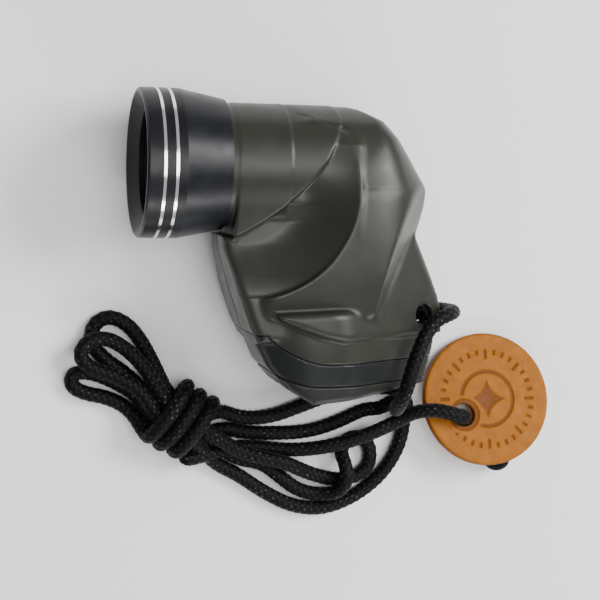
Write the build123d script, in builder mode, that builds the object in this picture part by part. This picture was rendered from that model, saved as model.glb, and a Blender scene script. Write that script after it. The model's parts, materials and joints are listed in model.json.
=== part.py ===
from build123d import *
import os
from math import cos, pi, radians, sin, tan

os.makedirs("parts", exist_ok=True)

# Handheld bearing compass lying on its side, with its neck cord and leather tag.
# Frame: +X along the eyepiece axis towards the rear, +Y the compass's own "up", +Z up from the
# table. The origin is the centre of the compass's footprint on the table (cord and tag left out).
# Outlines are in side coordinates: x, y from the eyepiece axis, z from the midplane.
# The cord and the tag lie on the table and are in frame coordinates.

# ---------------------------------------------------------------- driving dimensions (mm)
HALF_WIDTH = 21.2  # barrel radius, and half width at the flank and the pad, so it lies level
TUBE_R = 17.5
BORE_R = 15.3
BARREL_FRONT = -48.7
BARREL_SHOULDER = -37.7  # cylinder in front of it, cone behind
BARREL_REAR = -24.6
BARREL_REAR_R = 18.6
SLEEVE_R = 17.9  # barrel bore over the tube
SLEEVE_FRONT = -36.9
BARREL_BORE_R = 15.9
FUNNEL_R = 19.9
FUNNEL_DEPTH = 3.0
TRIM_XS = {"trim_ring_front": -44.3, "trim_ring_rear": -40.95}
TRIM_WIDTH = 0.8
TRIM_DEPTH = 0.5
TUBE_FRONT = -35.2
EAR_REAR = 44.5
PAD_Y = -48.0  # lower edge of the widest part of the pad
SEAM_BAND = -55.5  # the housing ends and the light ring begins
SEAM_CAP = -62.0  # the light ring ends and the base cap begins
BASE_Y = -67.5
BASE_REAR_Y = -63.8  # the sole rises towards the rear
LOWER_DRAFT = 8  # degrees that the lower body closes below the pad
CHIN_HALF_WIDTH = 14.0
MIRROR_X = 16.0  # where the eyepiece axis meets the mirror
MIRROR_R = 12.2
MIRROR_T = 1.5
BORE_END = 26.0
CARD_X = 4.0  # axis of the compass capsule and its card
CAPSULE_R = 16.8
CAVITY_R = 17.5
CAPSULE_TOP = -43.2
CARD_R = 13.2
CARD_TOP = -46.8
PIVOT_Y = -47.6
HOLE_X = 37.0  # lanyard hole in the rear ear
HOLE_Y = -42.7
HOLE_R = 3.0
CORD_D = 4.5
TAG_R = 20.8
TAG_T = 3.0
TAG_TILT = 14.0  # its lower edge is propped on the cord's end knot
TAG_HOLE_R = 3.5
TAG_CENTRE = (67.4, -49.1)
TAG_HOLE = (-7.8, -4.95)  # from the tag's centre, in its own plane
FLOOR_GAP = 0.3

SHIFT_X = -(BARREL_FRONT + EAR_REAR) / 2
AXIS_Y = -(HALF_WIDTH + BASE_Y) / 2
MID_Z = HALF_WIDTH
BIG = 120.0  # longer than the compass, for cuts that go right through


def side_plane(x=0.0, y=0.0, z=0.0):
    """Plane of the side outlines, with its origin at side coordinates x, y, z."""
    return Plane(origin=(SHIFT_X + x, AXIS_Y + y, MID_Z + z))


def section_plane(x):
    """Plane across the eyepiece axis: local x is up (+Y), local y is +Z."""
    return Plane(origin=(SHIFT_X + x, AXIS_Y, MID_Z), x_dir=(0, 1, 0), z_dir=(1, 0, 0))


def plan_plane(y, x=0.0):
    """Plane across the card axis, facing down (-Y): local x is +X, local y is +Z."""
    return Plane(origin=(SHIFT_X + x, AXIS_Y + y, MID_Z), x_dir=(1, 0, 0), z_dir=(0, -1, 0))


SIDE = side_plane()
CARD_SIDE = side_plane(CARD_X)
TUBE_AXIS = Axis(SIDE.origin, (1, 0, 0))
CARD_AXIS = Axis(CARD_SIDE.origin, (0, 1, 0))


def turned(profile, axis, plane=SIDE):
    """Solid of revolution of a closed profile given in the plane's coordinates."""
    with BuildPart() as solid:
        with BuildSketch(plane):
            with BuildLine():
                Polyline(*profile, close=True)
            make_face()
        revolve(axis=axis)
    return solid.part


def save(part, name):
    """Label a finished piece and write it as its own STEP file."""
    part.label = name
    export_step(part, f"parts/{name}.step")


# ---------------------------------------------------------------- outer form of the casing
FLANK_OUTLINE = [
    (6.5, TUBE_R),
    (26.0, TUBE_R),
    (31.0, 13.0),
    (38.8, -7.0),
    (33.8, -19.5),
    (33.0, -30.0),
    (20.0, -42.5),
    (-14.0, -42.5),
    (-13.0, -26.0),
    (-3.0, -17.0),
    (3.5, -8.0),
    (6.8, 1.0),
]
CHIN_OUTLINE = [
    (-22.6, 0.0),
    (-22.6, -19.8),
    (-25.4, -19.8),
    (-24.9, -24.0),
    (-21.8, -34.5),
    (-18.0, -45.0),
    (-15.6, -50.0),
    (8.0, -50.0),
    (8.0, 0.0),
]
LOWER_OUTLINE = [
    (-19.8, -40.8),
    (14.5, -39.6),
    (33.8, -18.6),
    (43.2, -37.4),
    (EAR_REAR, -41.0),
    (EAR_REAR, -46.5),
    (39.6, -61.0),
    (39.0, BASE_REAR_Y),
    (1.0, BASE_Y),
    (-5.7, -63.6),
    (-12.0, -57.0),
    (-15.6, -50.0),
    (-18.2, -44.5),
]
LOWER_TOP = -15.0
BACK_FACET_POINT = (38.2, -5.6, 3.0)
BACK_FACET_NORMAL = (0.757, -0.242, 0.607)
SCOOP_CENTRE = (-23.5, 2.0, 26.8)
SCOOP_NORMAL = (-0.058, -0.166, 1.0)
SCOOP_R = 29.0
SCOOP_GROOVE_R = 12.0
SCOOP_FRONT = -24.0  # the tube in front of this, under the barrel, stays whole

with BuildPart() as flank:
    with BuildSketch(SIDE):
        with BuildLine():
            Polyline(*FLANK_OUTLINE, close=True)
        make_face()
    extrude(amount=HALF_WIDTH + 1, both=True)
    with BuildSketch(section_plane(-30)):
        with BuildLine():
            crown = CenterArc((0, 0), TUBE_R, 0, 70)
            ThreePointArc(crown @ 1, (-6.0, 20.0), (-19.0, HALF_WIDTH))
            ThreePointArc((-19.0, HALF_WIDTH), (-31.0, 19.6), (-43.0, 15.0))
            Line((-43.0, 15.0), (-43.0, 0))
            mirror(about=Plane.XZ)
        make_face()
    extrude(amount=BIG, mode=Mode.INTERSECT)
    for side in (1, -1):
        facet_x, facet_y, facet_z = BACK_FACET_POINT
        normal_x, normal_y, normal_z = BACK_FACET_NORMAL
        facet_origin = side_plane(facet_x, facet_y, side * facet_z).origin
        facet = Plane(origin=facet_origin, z_dir=(normal_x, normal_y, side * normal_z))
        split(bisect_by=facet, keep=Keep.BOTTOM)

# The chin, the tube's rear stretch and the scooped grooves that run round into the flanks.
with BuildPart() as shoulders:
    add(flank.part)
    with BuildSketch(SIDE):
        with BuildLine():
            Polyline(*CHIN_OUTLINE, close=True)
        make_face()
    extrude(amount=CHIN_HALF_WIDTH, both=True)
    with BuildSketch(section_plane(SCOOP_FRONT)):
        Circle(TUBE_R)
    extrude(amount=BORE_END - 4 - SCOOP_FRONT)
    for side in (1, -1):
        scoop_x, scoop_y, scoop_z = SCOOP_CENTRE
        normal_x, normal_y, normal_z = SCOOP_NORMAL
        scoop_origin = side_plane(scoop_x, scoop_y, side * scoop_z).origin
        with Locations(Plane(origin=scoop_origin, z_dir=(normal_x, normal_y, side * normal_z))):
            Torus(SCOOP_R, SCOOP_GROOVE_R, mode=Mode.SUBTRACT)

# Boat-shaped plan of the lower body: round nose, flat sides closing to the thin rear ear.
with BuildSketch() as boat:
    with BuildLine():
        ThreePointArc((-18.5, 0), (-11.5, 14.8), (3.0, HALF_WIDTH))
        Line((3.0, HALF_WIDTH), (8.0, HALF_WIDTH))
        Line((8.0, HALF_WIDTH), (39.5, 3.4))
        ThreePointArc((39.5, 3.4), (43.2, 2.4), (EAR_REAR, 0))
        mirror(about=Plane.XZ)
    make_face()

with BuildPart() as lower:
    with BuildSketch(plan_plane(LOWER_TOP)):
        add(boat.sketch)
    extrude(amount=LOWER_TOP - PAD_Y)
    with BuildSketch(plan_plane(PAD_Y)):
        add(boat.sketch)
    extrude(amount=PAD_Y - BASE_Y, taper=LOWER_DRAFT)
    with BuildSketch(SIDE):
        with BuildLine():
            Polyline(*LOWER_OUTLINE, close=True)
        make_face()
    extrude(amount=HALF_WIDTH + 1, both=True, mode=Mode.INTERSECT)
    with BuildSketch(side_plane(HOLE_X, HOLE_Y)):
        Circle(HOLE_R)
    extrude(amount=HALF_WIDTH, both=True, mode=Mode.SUBTRACT)

# ---------------------------------------------------------------- fasteners of the casing
HOUSING_SCREWS = [(31.0, 1.0), (-18.0, -28.0), (31.5, -25.0), (34.0, -53.0)]
BASE_SCREWS = [(4.0, 15.0), (4.0, -15.0), (24.0, 5.5), (24.0, -5.5)]
SCREW_R = 1.0
SCREW_CLEAR_R = 1.2
HEAD_R = 1.9
HEAD_T = 1.3
HEAD_RECESS_R = 2.1
DRIVE_R = 0.8
DRIVE_DEPTH = 0.7
HOUSING_SEAT_Z = -3.0
HOUSING_TIP_Z = 4.0
BASE_SEAT_Y = -63.3
BASE_TIP_Y = -53.2
TIP_ROOM = 0.2


def screws(plane, spots, length):
    """Pan head screws with hexagon sockets: shanks along the plane's normal, heads behind it."""
    with BuildPart() as group:
        with BuildSketch(plane):
            with Locations(*spots):
                Circle(SCREW_R)
        extrude(amount=length)
        with BuildSketch(plane):
            with Locations(*spots):
                Circle(HEAD_R)
        extrude(amount=-HEAD_T)
        with BuildSketch(plane.offset(-HEAD_T)):
            with Locations(*spots):
                RegularPolygon(DRIVE_R, 6)
        extrude(amount=DRIVE_DEPTH, mode=Mode.SUBTRACT)
    return group.part


seat_plane = side_plane(z=HOUSING_SEAT_Z)
base_seat = Plane(origin=plan_plane(BASE_SEAT_Y).origin, x_dir=(1, 0, 0), z_dir=(0, 1, 0))
base_spots = [(x, -z) for x, z in BASE_SCREWS]
save(screws(seat_plane, HOUSING_SCREWS, HOUSING_TIP_Z - HOUSING_SEAT_Z), "housing_screws")
save(screws(base_seat, base_spots, BASE_TIP_Y - BASE_SEAT_Y), "base_screws")

# ---------------------------------------------------------------- hollow inside of the casing
WELL_TOP_R = 13.5
WELL_R = 10.5
WELL_STEP_Y = -18.0
CAVITY_TOP = -43.0
CAVITY_TAPER_TOP = -48.0
CAVITY_TAPER_END = -58.0
CAVITY_END_R = 9.7
RING_BORE_R = 12.5
KEY_X = -31.0
KEY_R = 0.8
KEY_OUT = 17.3
KEY_IN = 13.6
KEY_HOLE_DEPTH = 5.0
WELL_TOP_Y = -2.0
GROOVE_X = -26.8
GROOVE_WIDTH = 1.4
GROOVE_R = 16.7

with BuildPart() as hollow:
    with BuildSketch(section_plane(-BIG / 2)):
        Circle(BORE_R)
    extrude(amount=BIG / 2 + BORE_END)
    with BuildSketch(plan_plane(WELL_TOP_Y, MIRROR_X)):
        Circle(WELL_TOP_R)
    extrude(amount=WELL_TOP_Y - WELL_STEP_Y)
    with BuildSketch(plan_plane(WELL_STEP_Y, MIRROR_X)):
        Circle(WELL_R)
    extrude(amount=WELL_STEP_Y - CAVITY_TOP)
    with BuildSketch(CARD_SIDE):
        with BuildLine():
            Polyline(
                (0, CAVITY_TOP),
                (CAVITY_R, CAVITY_TOP),
                (CAVITY_R, CAVITY_TAPER_TOP),
                (CAVITY_END_R, CAVITY_TAPER_END),
                (0, CAVITY_TAPER_END),
                close=True,
            )
        make_face()
    revolve(axis=CARD_AXIS)

with BuildPart() as housing:
    add(shoulders.part)
    add(lower.part)
    with BuildSketch(section_plane(TUBE_FRONT)):
        Circle(TUBE_R)
    extrude(amount=SCOOP_FRONT - TUBE_FRONT)
    with BuildSketch(plan_plane(SEAM_BAND)):
        Rectangle(BIG, BIG)
    extrude(amount=BIG, mode=Mode.SUBTRACT)
    add(hollow.part, mode=Mode.SUBTRACT)
    with BuildSketch(section_plane(GROOVE_X - GROOVE_WIDTH / 2)):
        Circle(TUBE_R + 1)
        Circle(GROOVE_R, mode=Mode.SUBTRACT)
    extrude(amount=GROOVE_WIDTH, mode=Mode.SUBTRACT)
    with BuildSketch(base_seat):
        with Locations(*base_spots):
            Circle(SCREW_R)
    extrude(amount=BASE_TIP_Y - BASE_SEAT_Y + TIP_ROOM, mode=Mode.SUBTRACT)

with BuildPart() as housing_right:
    add(housing.part)
    split(bisect_by=SIDE, keep=Keep.TOP)
    with BuildSketch(SIDE):
        with Locations(*HOUSING_SCREWS):
            Circle(SCREW_R)
    extrude(amount=HOUSING_TIP_Z + TIP_ROOM, mode=Mode.SUBTRACT)
    with BuildSketch(side_plane(KEY_X, 0, BORE_R - 2)):
        Circle(KEY_R)
    extrude(amount=KEY_HOLE_DEPTH, mode=Mode.SUBTRACT)
save(housing_right.part, "housing_right")

with BuildPart() as housing_left:
    add(housing.part)
    split(bisect_by=SIDE, keep=Keep.BOTTOM)
    with BuildSketch(SIDE):
        with Locations(*HOUSING_SCREWS):
            Circle(SCREW_CLEAR_R)
    extrude(amount=HOUSING_SEAT_Z, mode=Mode.SUBTRACT)
    with BuildSketch(seat_plane):
        with Locations(*HOUSING_SCREWS):
            Circle(HEAD_RECESS_R)
    extrude(amount=-HALF_WIDTH, mode=Mode.SUBTRACT)
save(housing_left.part, "housing_left")

# ---------------------------------------------------------------- light ring and base cap
CAP_POCKET_R = 10.0
CAP_FLOOR = 3.0

with BuildPart() as light_ring:
    add(lower.part)
    with BuildSketch(plan_plane(SEAM_BAND)):
        Rectangle(BIG, BIG)
    extrude(amount=SEAM_BAND - SEAM_CAP, mode=Mode.INTERSECT)
    with BuildSketch(plan_plane(SEAM_BAND, CARD_X)):
        Circle(RING_BORE_R)
    extrude(amount=BIG, mode=Mode.SUBTRACT)
    with BuildSketch(base_seat):
        with Locations(*base_spots):
            Circle(SCREW_CLEAR_R)
    extrude(amount=BIG, mode=Mode.SUBTRACT)
save(light_ring.part, "light_ring")

with BuildPart() as base_cap:
    add(lower.part)
    with BuildSketch(plan_plane(SEAM_CAP)):
        Rectangle(BIG, BIG)
    extrude(amount=BIG / 2, mode=Mode.INTERSECT)
    with BuildSketch(plan_plane(SEAM_CAP, CARD_X)):
        Circle(CAP_POCKET_R)
    extrude(amount=SEAM_CAP - BASE_Y - CAP_FLOOR, mode=Mode.SUBTRACT)
    with BuildSketch(base_seat):
        with Locations(*base_spots):
            Circle(SCREW_CLEAR_R)
    extrude(amount=BIG, mode=Mode.SUBTRACT)
    with BuildSketch(base_seat):
        with Locations(*base_spots):
            Circle(HEAD_RECESS_R)
    extrude(amount=-BIG, mode=Mode.SUBTRACT)
save(base_cap.part, "base_cap")

# ---------------------------------------------------------------- focusing eyepiece
LENS_R = 14.3
LENS_BACK = -39.0
LENS_EDGE = -41.0
LENS_APEX = -43.4
LENS_MID = -42.79  # the front surface halfway out
CARRIAGE_FRONT = -44.0
CARRIAGE_STEP = -37.2
CARRIAGE_REAR = -27.0
CARRIAGE_R = 15.5
SKIRT_R = 14.35
SKIRT_BORE_R = 13.2
STOP_R = 12.9
HELICOID_BORE_R = 14.4
HELICOID_REAR = -27.5
KEY_SLOT_LENGTH = 4.8
KEY_PLAY = 0.05
RING_FRONT = -43.6
RING_BACK = -41.6
RING_R = 13.0
NOTCH = (2.0, 1.2, 0.8)  # key slots in the retaining ring: width, height, depth
STOP_STEP = 1.5
RIM_CHAMFER = 0.6

with BuildPart() as focus_barrel:
    with BuildSketch(SIDE):
        with BuildLine():
            Polyline(
                (BARREL_FRONT, FUNNEL_R),
                (BARREL_FRONT, HALF_WIDTH - RIM_CHAMFER),
                (BARREL_FRONT + RIM_CHAMFER, HALF_WIDTH),
                (BARREL_SHOULDER, HALF_WIDTH),
                (BARREL_REAR, BARREL_REAR_R),
                (BARREL_REAR, SLEEVE_R),
                (SLEEVE_FRONT, SLEEVE_R),
                (SLEEVE_FRONT, BARREL_BORE_R),
                (BARREL_FRONT + FUNNEL_DEPTH, BARREL_BORE_R),
                close=True,
            )
        make_face()
    revolve(axis=TUBE_AXIS)
    for trim_x in TRIM_XS.values():
        with BuildSketch(section_plane(trim_x)):
            Circle(HALF_WIDTH + 1)
            Circle(HALF_WIDTH - TRIM_DEPTH, mode=Mode.SUBTRACT)
        extrude(amount=TRIM_WIDTH, mode=Mode.SUBTRACT)
save(focus_barrel.part, "focus_barrel")

for trim_name, trim_x in TRIM_XS.items():
    with BuildPart() as trim_ring:
        with BuildSketch(section_plane(trim_x)):
            Circle(HALF_WIDTH)
            Circle(HALF_WIDTH - TRIM_DEPTH, mode=Mode.SUBTRACT)
        extrude(amount=TRIM_WIDTH)
    save(trim_ring.part, trim_name)

with BuildPart() as lens_carriage:
    with BuildSketch(SIDE):
        with BuildLine():
            Polyline(
                (CARRIAGE_FRONT, LENS_R),
                (CARRIAGE_FRONT, CARRIAGE_R),
                (CARRIAGE_STEP, CARRIAGE_R),
                (CARRIAGE_STEP, SKIRT_R),
                (CARRIAGE_REAR, SKIRT_R),
                (CARRIAGE_REAR, SKIRT_BORE_R),
                (LENS_BACK + STOP_STEP, SKIRT_BORE_R),
                (LENS_BACK, STOP_R),
                (LENS_BACK, LENS_R),
                close=True,
            )
        make_face()
    revolve(axis=TUBE_AXIS)
    with BuildSketch(side_plane(KEY_X)):
        SlotOverall(KEY_SLOT_LENGTH, 2 * (KEY_R + KEY_PLAY))
    extrude(amount=CARRIAGE_R, mode=Mode.SUBTRACT)
save(lens_carriage.part, "lens_carriage")

with BuildPart() as eyepiece_lens:
    with BuildSketch(SIDE):
        with BuildLine():
            ThreePointArc((LENS_APEX, 0), (LENS_MID, LENS_R / 2), (LENS_EDGE, LENS_R))
            Polyline((LENS_EDGE, LENS_R), (LENS_BACK, LENS_R), (LENS_BACK, 0), (LENS_APEX, 0))
        make_face()
    revolve(axis=TUBE_AXIS)
save(eyepiece_lens.part, "eyepiece_lens")

with BuildPart() as lens_retaining_ring:
    with BuildSketch(section_plane(RING_FRONT)):
        Circle(LENS_R)
        Circle(RING_R, mode=Mode.SUBTRACT)
    extrude(amount=RING_BACK - RING_FRONT)
    with BuildSketch(section_plane(RING_FRONT)):
        with PolarLocations((LENS_R + RING_R) / 2, 2):
            Rectangle(NOTCH[0], NOTCH[1])
    extrude(amount=NOTCH[2], mode=Mode.SUBTRACT)
save(lens_retaining_ring.part, "lens_retaining_ring")

with BuildPart() as helicoid_sleeve:
    with BuildSketch(section_plane(TUBE_FRONT)):
        Circle(BORE_R)
        Circle(HELICOID_BORE_R, mode=Mode.SUBTRACT)
    extrude(amount=HELICOID_REAR - TUBE_FRONT)
    with BuildSketch(side_plane(KEY_X)):
        Circle(KEY_R)
    extrude(amount=BORE_R + 1, mode=Mode.SUBTRACT)
save(helicoid_sleeve.part, "helicoid_sleeve")

with BuildPart() as guide_key:
    with BuildSketch(side_plane(KEY_X, 0, KEY_IN)):
        Circle(KEY_R)
    extrude(amount=KEY_OUT - KEY_IN)
save(guide_key.part, "guide_key")

O_RING_R = 0.55
with BuildPart() as barrel_o_ring:
    with BuildSketch(side_plane(GROOVE_X)):
        with Locations((0, GROOVE_R + O_RING_R)):
            Circle(O_RING_R)
    revolve(axis=TUBE_AXIS)
save(barrel_o_ring.part, "barrel_o_ring")

# ---------------------------------------------------------------- mirror and its holder
MIRROR_BACK = side_plane(MIRROR_X).origin
MIRROR_PLANE = Plane(origin=MIRROR_BACK, x_dir=(1, -1, 0), z_dir=(-1, -1, 0))
ROOT_2 = 2**0.5
HOLDER_R = 15.2
HOLDER_END = 25.8
HOLDER_POCKET_R = 8.0
HOLDER_POCKET_DEPTH = 5.0
CLIP_LENGTH = 4.0
CLIP_OUT = 13.6
CLIP_LIP = 11.2
CLIP_T = 0.8
CLIP_PLAY = 0.1

with BuildPart() as mirror_glass:
    with BuildSketch(MIRROR_PLANE):
        Ellipse(MIRROR_R * ROOT_2, MIRROR_R)
    extrude(amount=-MIRROR_T)
save(mirror_glass.part, "mirror")

with BuildPart() as mirror_holder:
    with BuildSketch(section_plane(-BIG / 2)):
        Circle(HOLDER_R)
    extrude(amount=BIG / 2 + HOLDER_END)
    split(bisect_by=MIRROR_PLANE.offset(-MIRROR_T), keep=Keep.BOTTOM)
    with BuildSketch(section_plane(HOLDER_END)):
        Circle(HOLDER_POCKET_R)
    extrude(amount=-HOLDER_POCKET_DEPTH, mode=Mode.SUBTRACT)
save(mirror_holder.part, "mirror_holder")

with BuildPart() as mirror_clips:
    for side in (1, -1):
        with BuildSketch(MIRROR_PLANE.offset(-MIRROR_T)):
            with Locations((0, side * (CLIP_OUT + MIRROR_R + CLIP_PLAY) / 2)):
                Rectangle(CLIP_LENGTH, CLIP_OUT - MIRROR_R - CLIP_PLAY)
        extrude(amount=MIRROR_T + CLIP_T)
        with BuildSketch(MIRROR_PLANE):
            with Locations((0, side * (CLIP_OUT + CLIP_LIP) / 2)):
                Rectangle(CLIP_LENGTH, CLIP_OUT - CLIP_LIP)
        extrude(amount=CLIP_T)
save(mirror_clips.part, "mirror_clips")

# ---------------------------------------------------------------- compass capsule
COVER_T = 1.4
GASKET_T = 0.6
BOWL_TOP = CAPSULE_TOP - COVER_T - GASKET_T
BOWL_WALL = 1.4
BOWL_TAPER_TOP = -48.0
BOWL_BOTTOM = -57.2
BOWL_FLOOR = -55.8
BOWL_END_R = 9.6
FILLER_X = 10.8
FILLER_R = 1.0
FILLER_BOTTOM = -53.2
FILLER_LENGTH = 2.4
MEMBRANE_T = 0.5
MEMBRANE_IN = 4.5
MEMBRANE_OUT = 8.5
VENT_R = 0.7  # holes in the bowl's floor that let the liquid reach the membrane
VENT_COUNT = 6
SUPPORT_IN = 3.0
SUPPORT_OUT = 8.0
CUSHION_TOP = -44.0
CUSHION_BOTTOM = -47.5
LUBBER_X = 14.95
LUBBER_R = 0.3
LUBBER_LENGTH = 3.5

save(
    turned(
        [
            (0, CAPSULE_TOP),
            (CAPSULE_R - 0.4, CAPSULE_TOP),
            (CAPSULE_R, CAPSULE_TOP - 0.4),
            (CAPSULE_R, CAPSULE_TOP - COVER_T),
            (0, CAPSULE_TOP - COVER_T),
        ],
        CARD_AXIS,
        CARD_SIDE,
    ),
    "capsule_cover",
)
save(
    turned(
        [
            (CAPSULE_R - BOWL_WALL, BOWL_TOP),
            (CAPSULE_R, BOWL_TOP),
            (CAPSULE_R, BOWL_TOP + GASKET_T),
            (CAPSULE_R - BOWL_WALL, BOWL_TOP + GASKET_T),
        ],
        CARD_AXIS,
        CARD_SIDE,
    ),
    "capsule_gasket",
)

with BuildPart() as capsule_bowl:
    with BuildSketch(CARD_SIDE):
        with BuildLine():
            Polyline(
                (CAPSULE_R - BOWL_WALL, BOWL_TOP),
                (CAPSULE_R, BOWL_TOP),
                (CAPSULE_R, BOWL_TAPER_TOP),
                (BOWL_END_R, BOWL_BOTTOM),
                (0, BOWL_BOTTOM),
                (0, BOWL_FLOOR),
                (BOWL_END_R - 0.9, BOWL_FLOOR),
                (CAPSULE_R - BOWL_WALL, BOWL_TAPER_TOP - 0.2),
                close=True,
            )
        make_face()
    revolve(axis=CARD_AXIS)
    with BuildSketch(plan_plane(BOWL_FLOOR + 0.1, CARD_X)):
        with PolarLocations((MEMBRANE_IN + MEMBRANE_OUT) / 2, VENT_COUNT):
            Circle(VENT_R)
    extrude(amount=2 * BOWL_WALL, mode=Mode.SUBTRACT)
    with BuildSketch(plan_plane(BOWL_TAPER_TOP, CARD_X)):
        with Locations((FILLER_X, 0)):
            Circle(FILLER_R)
    extrude(amount=BOWL_TAPER_TOP - BOWL_BOTTOM, mode=Mode.SUBTRACT)
save(capsule_bowl.part, "capsule_bowl")

with BuildPart() as filler_screw:
    with BuildSketch(plan_plane(FILLER_BOTTOM, CARD_X)):
        with Locations((FILLER_X, 0)):
            Circle(FILLER_R)
    extrude(amount=FILLER_LENGTH)
save(filler_screw.part, "filler_screw")

save(
    turned(
        [
            (MEMBRANE_IN, BOWL_BOTTOM),
            (MEMBRANE_OUT, BOWL_BOTTOM),
            (MEMBRANE_OUT, BOWL_BOTTOM - MEMBRANE_T),
            (MEMBRANE_IN, BOWL_BOTTOM - MEMBRANE_T),
        ],
        CARD_AXIS,
        CARD_SIDE,
    ),
    "expansion_membrane",
)
save(
    turned(
        [
            (CAPSULE_R, CUSHION_TOP),
            (CAVITY_R, CUSHION_TOP),
            (CAVITY_R, CUSHION_BOTTOM),
            (CAPSULE_R, CUSHION_BOTTOM),
        ],
        CARD_AXIS,
        CARD_SIDE,
    ),
    "capsule_cushion",
)
save(
    turned(
        [
            (SUPPORT_IN, BOWL_BOTTOM - MEMBRANE_T),
            (SUPPORT_OUT, BOWL_BOTTOM - MEMBRANE_T),
            (SUPPORT_OUT, BASE_Y + CAP_FLOOR),
            (SUPPORT_IN, BASE_Y + CAP_FLOOR),
        ],
        CARD_AXIS,
        CARD_SIDE,
    ),
    "capsule_support",
)
save(
    turned(
        [
            (0, BOWL_FLOOR),
            (1.6, BOWL_FLOOR),
            (1.6, BOWL_FLOOR + 1.0),
            (0.9, BOWL_FLOOR + 1.0),
            (0.6, PIVOT_Y - 1.0),
            (0, PIVOT_Y),
        ],
        CARD_AXIS,
        CARD_SIDE,
    ),
    "pivot_post",
)

with BuildPart() as lubber_line:
    with BuildSketch(plan_plane(CAPSULE_TOP - COVER_T, CARD_X)):
        with Locations((LUBBER_X, 0)):
            Circle(LUBBER_R)
    extrude(amount=LUBBER_LENGTH)
save(lubber_line.part, "lubber_line")

# ---------------------------------------------------------------- swinging card
JEWEL_R = 1.5
FLOAT_BORE_R = 1.8
FLOAT_R = 9.5
FLOAT_T = 3.0
CARD_T = 0.6
CARD_SKIRT = 1.4
CARD_GAP = 0.1
MAGNET = (10.0, 2.2, 1.6)
MAGNET_Z = 4.5

save(
    turned(
        [
            (0, PIVOT_Y + 0.2),
            (1.1, PIVOT_Y - 1.4),
            (JEWEL_R, PIVOT_Y - 1.4),
            (JEWEL_R, PIVOT_Y + 1.0),
            (0, PIVOT_Y + 1.0),
        ],
        CARD_AXIS,
        CARD_SIDE,
    ),
    "jewel_cup",
)
save(
    turned(
        [
            (FLOAT_BORE_R, CARD_TOP - CARD_T - CARD_GAP),
            (FLOAT_R, CARD_TOP - CARD_T - CARD_GAP),
            (FLOAT_R, CARD_TOP - CARD_T - FLOAT_T + 1.5),
            (FLOAT_R - 2.0, CARD_TOP - CARD_T - FLOAT_T),
            (3.0, CARD_TOP - CARD_T - FLOAT_T),
            (FLOAT_BORE_R, CARD_TOP - CARD_T - 1.5),
        ],
        CARD_AXIS,
        CARD_SIDE,
    ),
    "card_float",
)
save(
    turned(
        [
            (FLOAT_BORE_R + 0.2, CARD_TOP),
            (CARD_R - CARD_SKIRT, CARD_TOP),
            (CARD_R, CARD_TOP - CARD_SKIRT),
            (CARD_R, CARD_TOP - CARD_SKIRT - CARD_T),
            (CARD_R - CARD_SKIRT, CARD_TOP - CARD_T),
            (FLOAT_BORE_R + 0.2, CARD_TOP - CARD_T),
        ],
        CARD_AXIS,
        CARD_SIDE,
    ),
    "card_disc",
)

with BuildPart() as card_magnets:
    with BuildSketch(plan_plane(CARD_TOP - CARD_T - FLOAT_T - CARD_GAP, CARD_X)):
        with GridLocations(1, 2 * MAGNET_Z, 1, 2):
            Rectangle(MAGNET[0], MAGNET[1])
    extrude(amount=MAGNET[2])
save(card_magnets.part, "card_magnets")

# ---------------------------------------------------------------- leather tag
TAG_EDGE = 0.7
TAG_RIM_R = 5.2
TAG_RIM_DEPTH = 0.4
TAG_Z = FLOOR_GAP + TAG_R * sin(radians(TAG_TILT))
TAG_PLANE = Plane(
    origin=(*TAG_CENTRE, TAG_Z),
    x_dir=(1, 0, 0),
    z_dir=(0, sin(radians(TAG_TILT)), cos(radians(TAG_TILT))),
)

with BuildPart() as leather_tag:
    with BuildSketch(TAG_PLANE):
        Circle(TAG_R)
        with Locations(TAG_HOLE):
            Circle(TAG_HOLE_R, mode=Mode.SUBTRACT)
    extrude(amount=TAG_T)
    fillet(leather_tag.edges().filter_by(GeomType.CIRCLE).group_by(SortBy.RADIUS)[-1], TAG_EDGE)
save(leather_tag.part, "leather_tag")

# ---------------------------------------------------------------- neck cord
# The cord lies tied up in a hank beside the compass. The two strands of the neck loop come from
# a knot near the base: one goes up over the casing to the lanyard hole, one ends at the tag.
# Their free stretches are round tubes. The knots and the hank are closed solids.
CORD_Z = 2.35  # centre height of a strand on the table
OVER_Z = 7.6  # centre height of a strand that crosses another
EAR_ROUTE = [
    (36.5, -50.0, 10.5),
    (32.0, -48.6, 24.0),
    (31.4, -42.6, 33.0),
    (34.2, -31.5, 33.4),
    (39.5, -21.5, 30.8),
    (46.0, -18.8, 29.4),
    (50.4, -19.2, 21.2),
    (48.8, -19.5, 10.8),
    (39.1, -19.55, 12.2),
    (39.1, -19.55, 23.0),
]
TAG_ROUTE = [
    (42.0, -50.0, 11.0),
    (50.0, -50.6, 13.4),
    (59.6, -53.9, 13.4),
    (59.6, -53.9, CORD_Z),
    (66.4, -61.2, CORD_Z),
    (71.4, -66.4, 3.2),
]
UPPER_ROUTE = [
    (36.5, -45.8, CORD_Z),
    (28.0, -45.4, CORD_Z),
    (17.0, -47.4, CORD_Z),
    (7.5, -50.9, CORD_Z),
    (-1.0, -54.4, CORD_Z),
]
MIDDLE_ROUTE = [
    (36.5, -50.6, CORD_Z),
    (28.5, -52.0, CORD_Z),
    (20.5, -55.8, CORD_Z),
    (11.5, -58.6, CORD_Z),
    (2.0, -59.0, CORD_Z),
]
LOWER_ROUTE = [
    (37.5, -55.4, OVER_Z),
    (31.0, -58.2, OVER_Z),
    (23.5, -60.9, OVER_Z),
    (14.0, -63.2, 6.0),
    (5.5, -64.2, 3.4),
    (-1.5, -64.4, CORD_Z),
]
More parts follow.
